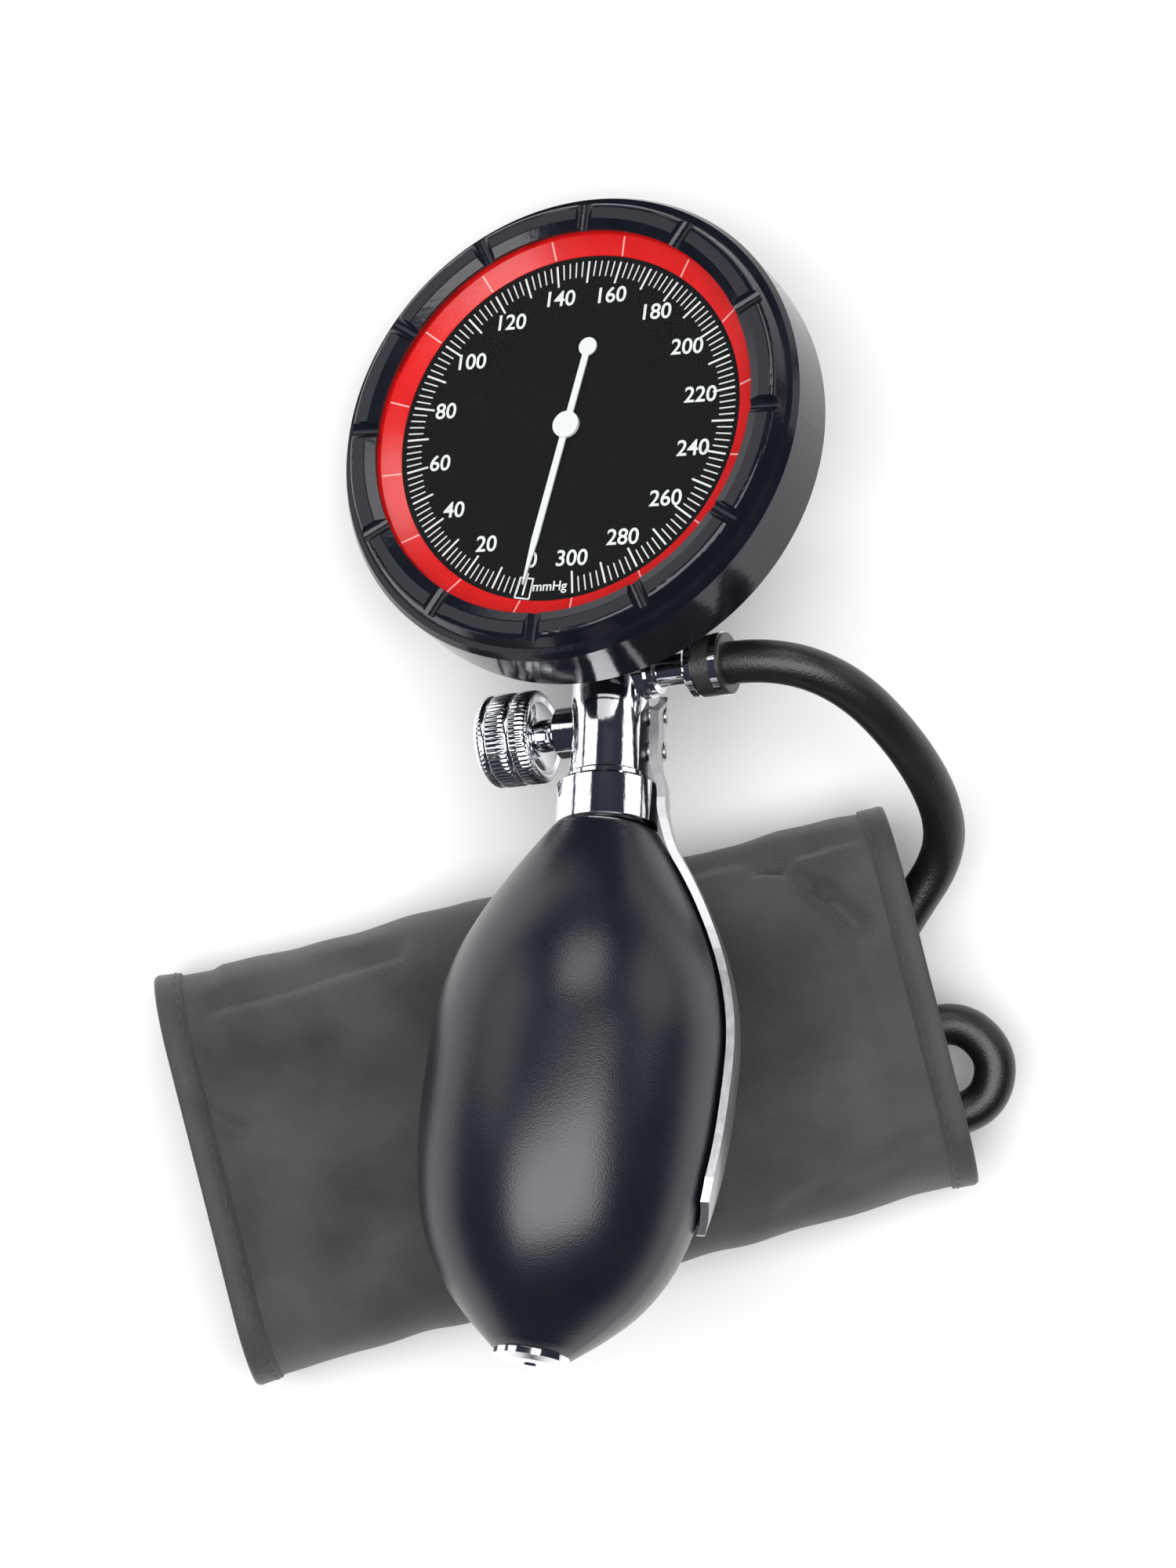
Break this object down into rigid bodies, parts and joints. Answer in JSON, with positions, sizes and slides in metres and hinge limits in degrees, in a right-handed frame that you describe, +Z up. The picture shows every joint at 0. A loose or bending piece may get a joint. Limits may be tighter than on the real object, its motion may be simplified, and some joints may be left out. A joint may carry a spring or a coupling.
{
  "type": "aneroid blood pressure gauge with bulb and cuff",
  "caption": "Palm aneroid blood pressure gauge with red-ringed round dial, release valve, squeeze bulb, finger strip and hose, lying over a rolled grey arm cuff.",
  "frame": {"origin": "on the supporting table, under the middle of the rolled cuff's flat underside", "axes": "+Z up from the table, +Y from the cuff towards the gauge end, +X towards the hose's side"},
  "size_m": [0.1651, 0.2256, 0.092],
  "materials": {
    "black_enamel": "gloss",
    "red_enamel": "gloss",
    "dial_black": "satin",
    "window": "clear",
    "chrome": "polished",
    "brass": "machined",
    "steel": "machined",
    "white_paint": "matt",
    "black_rubber": "satin",
    "seal_rubber": "matt",
    "dark_plastic": "satin",
    "grey_nylon": "woven",
    "bladder_latex": "matt",
    "hook_nylon": "hooked"
  },
  "bodies": {
    "instrument": {"rear_case": "black_enamel", "bezel": "black_enamel", "dial_plate": "dial_black", "chapter_ring": "red_enamel", "crystal": "window", "crystal_gasket": "seal_rubber", "lower_plate": "brass", "upper_plate": "brass", "plate_pillar_1": "brass", "plate_pillar_2": "brass", "plate_pillar_3": "brass", "movement_post_1": "brass", "movement_post_2": "brass", "movement_post_3": "brass", "case_screw_1": "steel", "case_screw_2": "steel", "case_screw_3": "steel", "hairspring": "steel", "hairspring_stud": "brass", "capsule": "brass", "capsule_mount": "brass", "valve_body": "chrome", "bulb_collar": "chrome", "gland_nut": "chrome", "gland_o_ring": "seal_rubber", "hose_barb": "chrome", "hose_ferrule": "dark_plastic", "ferrule_band": "chrome", "outlet_seat": "brass", "bulb": "black_rubber", "finger_strip": "chrome", "strip_rivet_1": "chrome", "strip_rivet_2": "chrome", "end_valve_body": "chrome", "ball_keeper": "brass", "cuff_outer_turn": "grey_nylon", "cuff_inner_turn": "grey_nylon", "bladder": "bladder_latex", "edge_binding_left": "grey_nylon", "edge_binding_right": "grey_nylon", "hook_patch": "hook_nylon", "bladder_port": "dark_plastic", "hose": "black_rubber", "pressure_pipe": "brass"},
    "sector": {"sector_gear": "brass", "sector_arbor": "steel"},
    "indicator": {"pinion_arbor": "steel", "pointer": "white_paint"},
    "rocker": {"rocking_shaft": "steel"},
    "lifter": {"capsule_stem": "steel"},
    "valve_seal": {"release_seal": "seal_rubber"},
    "valve_screw": {"release_spindle": "chrome", "release_knob": "chrome"},
    "outlet": {"outlet_disc": "seal_rubber"},
    "intake": {"intake_ball": "steel"}
  },
  "joints": [
    {"name": "sector_pivot", "type": "hinge", "parent": "instrument", "child": "sector", "pos_m": [-0.00911, 0.10681, 0.03054], "axis": [-0.4181, 0.3183, 0.8508], "range_deg": [0, 34.25], "stiffness_Nm_per_rad": 0.002, "springref_deg": -17.19},
    {"name": "pointer_turn", "type": "hinge", "parent": "instrument", "child": "indicator", "pos_m": [0.00513, 0.12043, 0.03245], "axis": [0.4181, -0.3183, -0.8508], "range_deg": [0, 342.5]},
    {"name": "rocker_tilt", "type": "hinge", "parent": "instrument", "child": "rocker", "pos_m": [0.00722, 0.10433, 0.02904], "axis": [0.9009, 0.0249, 0.4334], "range_deg": [0, 12.7]},
    {"name": "stem_lift", "type": "slide", "parent": "instrument", "child": "lifter", "axis": [-0.4181, 0.3183, 0.8508], "range_m": [0, 0.0031]},
    {"name": "valve_travel", "type": "slide", "parent": "instrument", "child": "valve_seal", "axis": [-0.9076, -0.1074, -0.4058], "range_m": [0, 0.0012]},
    {"name": "knob_turn", "type": "hinge", "parent": "valve_seal", "child": "valve_screw", "pos_m": [-0.00566, 0.06668, 0.03385], "axis": [-0.9076, -0.1074, -0.4058], "range_deg": [0, 540]},
    {"name": "outlet_lift", "type": "slide", "parent": "instrument", "child": "outlet", "axis": [0.0378, 0.9419, -0.3338], "range_m": [0, 0.0008]},
    {"name": "intake_lift", "type": "slide", "parent": "instrument", "child": "intake", "axis": [0.1716, 0.9474, -0.2702], "range_m": [0, 0.0012]}
  ],
  "couplings": [
    {"joint": "pointer_turn", "follows": "sector_pivot", "ratio": 10},
    {"joint": "rocker_tilt", "follows": "sector_pivot", "ratio": 0.3708},
    {"joint": "stem_lift", "follows": "sector_pivot", "m_per_rad": 0.0051809},
    {"joint": "knob_turn", "follows": "valve_travel", "rad_per_m": 7854}
  ]
}
